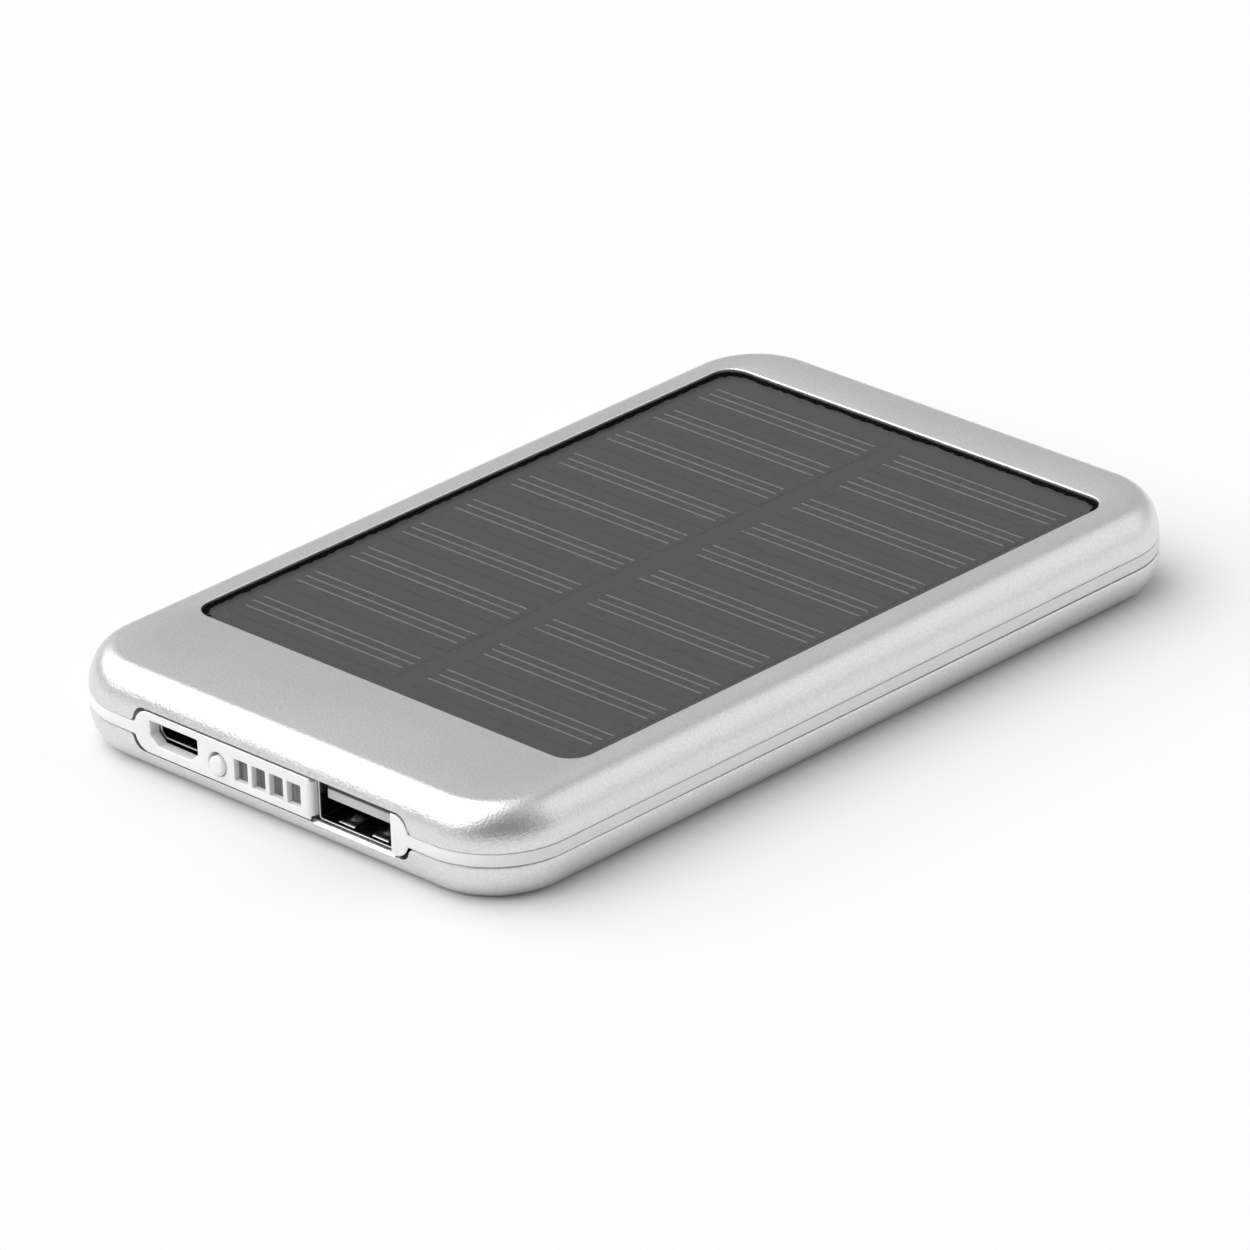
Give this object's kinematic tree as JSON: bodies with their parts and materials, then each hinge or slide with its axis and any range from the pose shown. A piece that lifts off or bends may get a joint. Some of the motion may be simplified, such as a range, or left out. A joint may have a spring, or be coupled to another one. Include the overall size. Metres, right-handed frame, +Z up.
{
  "type": "solar phone charger",
  "caption": "Slim silver power bank with a recessed solar panel on top, a USB-A port, a micro-USB port, a push button and charge lights on one end.",
  "frame": {"origin": "middle of the flat underside", "axes": "+Z up through the solar panel, +Y along the length away from the port end, +X across the width towards the USB-A port's side"},
  "size_m": [0.0728, 0.1188, 0.0117],
  "materials": {
    "silver_shell": "satin silver with a fine blasted grain",
    "frame_plastic": "semi-gloss off-white moulding",
    "solar_film": "clear satin resin film over the cells",
    "solar_cell": "dark silicon strip with fine pale finger lines",
    "black_board": "matte black solder mask",
    "adhesive": "matte foam tape",
    "pouch_foil": "soft silver laminate foil",
    "green_board": "green solder mask",
    "plated_steel": "bright nickel plate",
    "connector_plastic": "pale matte connector plastic",
    "gold_contact": "thin gold plate",
    "lens_plastic": "smoky translucent light guide",
    "led_body": "white package",
    "black_plastic": "matte black moulding",
    "ferrite": "dark ferrite",
    "tantalum": "yellow moulded case",
    "red_wire": "red insulation",
    "black_wire": "black insulation"
  },
  "bodies": {
    "case": {"battery_lead_black": "black_wire", "battery_lead_red": "red_wire", "battery_pouch": "pouch_foil", "battery_tape": "adhesive", "board_screw_left": "plated_steel", "board_screw_right": "plated_steel", "boost_chip": "black_plastic", "boost_inductor": "ferrite", "bottom_cover": "silver_shell", "charge_chip": "black_plastic", "charge_led_1": "led_body", "charge_led_2": "led_body", "charge_led_3": "led_body", "charge_led_4": "led_body", "input_capacitor": "tantalum", "light_guide": "lens_plastic", "main_board": "green_board", "micro_usb_shell": "plated_steel", "micro_usb_tongue": "black_plastic", "mid_frame": "frame_plastic", "output_capacitor": "tantalum", "panel_tape": "adhesive", "protection_board": "green_board", "rectifier_diode": "black_plastic", "solar_board": "black_board", "solar_cell_01_left": "solar_cell", "solar_cell_01_right": "solar_cell", "solar_cell_02_left": "solar_cell", "solar_cell_02_right": "solar_cell", "solar_cell_03_left": "solar_cell", "solar_cell_03_right": "solar_cell", "solar_cell_04_left": "solar_cell", "solar_cell_04_right": "solar_cell", "solar_cell_05_left": "solar_cell", "solar_cell_05_right": "solar_cell", "solar_cell_06_left": "solar_cell", "solar_cell_06_right": "solar_cell", "solar_cell_07_left": "solar_cell", "solar_cell_07_right": "solar_cell", "solar_cell_08_left": "solar_cell", "solar_cell_08_right": "solar_cell", "solar_cell_09_left": "solar_cell", "solar_cell_09_right": "solar_cell", "solar_cell_10_left": "solar_cell", "solar_cell_10_right": "solar_cell", "solar_film": "solar_film", "solar_lead_black": "black_wire", "solar_lead_red": "red_wire", "switch_body": "black_plastic", "top_cover": "silver_shell", "usb_a_contact_1": "gold_contact", "usb_a_contact_2": "gold_contact", "usb_a_contact_3": "gold_contact", "usb_a_contact_4": "gold_contact", "usb_a_shell": "plated_steel", "usb_a_tongue": "connector_plastic"},
    "button": {"button_cap": "frame_plastic", "switch_plunger": "black_plastic"}
  },
  "joints": [
    {"name": "button_press", "type": "slide", "parent": "case", "child": "button", "axis": [0, 1, 0], "range_m": [0, 0.0003], "stiffness_N_per_m": 6000}
  ]
}
